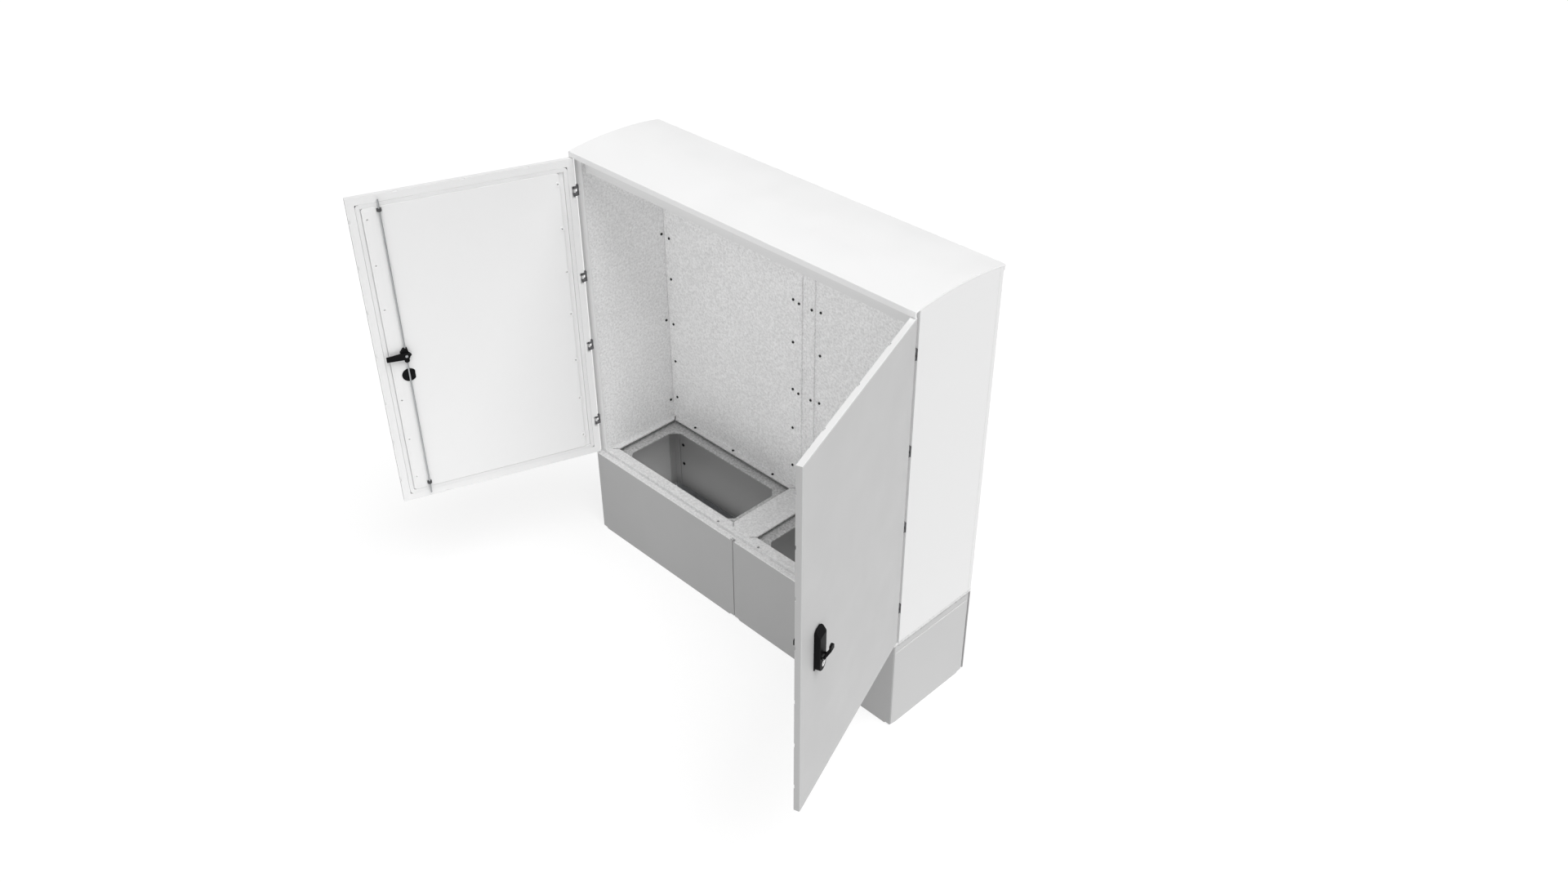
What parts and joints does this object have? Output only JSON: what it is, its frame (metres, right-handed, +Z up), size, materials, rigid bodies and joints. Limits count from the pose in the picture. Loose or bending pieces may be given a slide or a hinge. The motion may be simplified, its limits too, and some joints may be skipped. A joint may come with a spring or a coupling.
{
  "type": "outdoor battery cabinet",
  "caption": "Free-standing outdoor battery cabinet with an arched roof, double doors, swing-handle rod locks and a hollow cable plinth, doors standing open.",
  "frame": {"origin": "middle of the plinth's footprint, on the floor, at the centre of the anchor bolt rectangle", "axes": "+X to the right seen from the front, the doors face -Y, +Z up; doors modelled open by 110 degrees"},
  "size_m": [1.692, 0.9029, 1.327],
  "materials": {
    "roof": "fine-grained moulded polyester",
    "cabinet_shell": "fine-grained moulded polyester",
    "cabinet_liner": "fine-grained moulded polyester",
    "base_frame": "fine-grained moulded polyester",
    "plinth_shell": "grained moulded polyester",
    "plinth_end": "grained moulded polyester",
    "screw_dark": "blackened",
    "plinth_deck": "rough moulded polyester",
    "door_shell": "fine-grained moulded polyester",
    "door_panel": "fine-grained moulded polyester",
    "gasket_foam": "closed-cell foam",
    "hinge_light": "cast, painted",
    "hinge_dark": "cast, bare",
    "black_plastic": "glass-filled polyamide, satin",
    "guide_grey": "satin polyamide",
    "zinc_steel": "zinc plated",
    "galvanised_steel": "hot-dip galvanised",
    "barrel_metal": "nickel plated"
  },
  "bodies": {
    "cabinet": {"back_liner_left": "cabinet_liner", "back_liner_right": "cabinet_liner", "back_panel_left": "cabinet_shell", "back_panel_right": "cabinet_shell", "base_frame_left": "base_frame", "base_frame_right": "base_frame", "header_left": "cabinet_shell", "header_right": "cabinet_shell", "hinge_brackets": "hinge_dark", "hinge_pins": "zinc_steel", "panel_screws": "screw_dark", "plinth_back_left": "plinth_shell", "plinth_back_right": "plinth_shell", "plinth_end_left": "plinth_end", "plinth_end_right": "plinth_end", "plinth_front_left": "plinth_shell", "plinth_front_right": "plinth_shell", "plinth_inner_ends": "plinth_shell", "plinth_plugs": "black_plastic", "plinth_posts": "plinth_shell", "plinth_rails": "galvanised_steel", "plinth_top_left": "plinth_deck", "plinth_top_right": "plinth_deck", "roof": "roof", "side_liner_left": "cabinet_liner", "side_liner_right": "cabinet_liner", "side_panel_left": "cabinet_shell", "side_panel_right": "cabinet_shell"},
    "door_left": {"door_shell_left": "door_shell", "door_pan_left": "door_panel", "door_gasket_left": "gasket_foam", "hinge_leaves_left": "hinge_light", "lock_case_left": "black_plastic", "rod_guides_left": "guide_grey", "lock_disc_left": "black_plastic", "handle_plate_left": "black_plastic"},
    "turning_handle_left": {"handle_left": "black_plastic", "spindle_left": "zinc_steel", "lock_lever_left": "black_plastic", "lock_barrel_left": "barrel_metal", "flap_pin_left": "zinc_steel"},
    "upper_rod_left": {"rod_upper_left": "zinc_steel"},
    "lower_rod_left": {"rod_lower_left": "zinc_steel"},
    "flap_left": {"key_flap_left": "black_plastic"},
    "door_right": {"door_shell_right": "door_shell", "door_pan_right": "door_panel", "door_gasket_right": "gasket_foam", "hinge_leaves_right": "hinge_light", "lock_case_right": "black_plastic", "rod_guides_right": "guide_grey", "lock_disc_right": "black_plastic", "handle_plate_right": "black_plastic"},
    "turning_handle_right": {"handle_right": "black_plastic", "spindle_right": "zinc_steel", "lock_lever_right": "black_plastic", "lock_barrel_right": "barrel_metal", "flap_pin_right": "zinc_steel"},
    "upper_rod_right": {"rod_upper_right": "zinc_steel"},
    "lower_rod_right": {"rod_lower_right": "zinc_steel"},
    "flap_right": {"key_flap_right": "black_plastic"}
  },
  "joints": [
    {"name": "door_swing_left", "type": "hinge", "parent": "cabinet", "child": "door_left", "pos_m": [-0.62, -0.1545, 0.803], "axis": [0, 0, 1], "range_deg": [-10, 110]},
    {"name": "handle_turn_left", "type": "hinge", "parent": "door_left", "child": "turning_handle_left", "pos_m": [-0.80815, -0.65535, 0.808], "axis": [0.9397, -0.342, 0], "range_deg": [0, 90]},
    {"name": "upper_rod_slide_left", "type": "slide", "parent": "door_left", "child": "upper_rod_left", "axis": [0, 0, 1], "range_m": [0, 0.016]},
    {"name": "lower_rod_slide_left", "type": "slide", "parent": "door_left", "child": "lower_rod_left", "axis": [0, 0, -1], "range_m": [0, 0.016]},
    {"name": "key_flap_left", "type": "hinge", "parent": "turning_handle_left", "child": "flap_left", "pos_m": [-0.82741, -0.64834, 0.741], "axis": [-0.342, -0.9397, 0], "range_deg": [0, 152]},
    {"name": "door_swing_right", "type": "hinge", "parent": "cabinet", "child": "door_right", "pos_m": [0.62, -0.1545, 0.803], "axis": [0, 0, -1], "range_deg": [-10, 110]},
    {"name": "handle_turn_right", "type": "hinge", "parent": "door_right", "child": "turning_handle_right", "pos_m": [0.80815, -0.65535, 0.808], "axis": [0.9397, 0.342, 0], "range_deg": [0, 90]},
    {"name": "upper_rod_slide_right", "type": "slide", "parent": "door_right", "child": "upper_rod_right", "axis": [0, 0, 1], "range_m": [0, 0.016]},
    {"name": "lower_rod_slide_right", "type": "slide", "parent": "door_right", "child": "lower_rod_right", "axis": [0, 0, -1], "range_m": [0, 0.016]},
    {"name": "key_flap_right", "type": "hinge", "parent": "turning_handle_right", "child": "flap_right", "pos_m": [0.82741, -0.64834, 0.741], "axis": [-0.342, 0.9397, 0], "range_deg": [0, 152]}
  ],
  "couplings": [
    {"joint": "upper_rod_slide_left", "follows": "handle_turn_left", "m_per_rad": 0.010185},
    {"joint": "lower_rod_slide_left", "follows": "handle_turn_left", "m_per_rad": 0.010185},
    {"joint": "upper_rod_slide_right", "follows": "handle_turn_right", "m_per_rad": 0.010185},
    {"joint": "lower_rod_slide_right", "follows": "handle_turn_right", "m_per_rad": 0.010185}
  ]
}
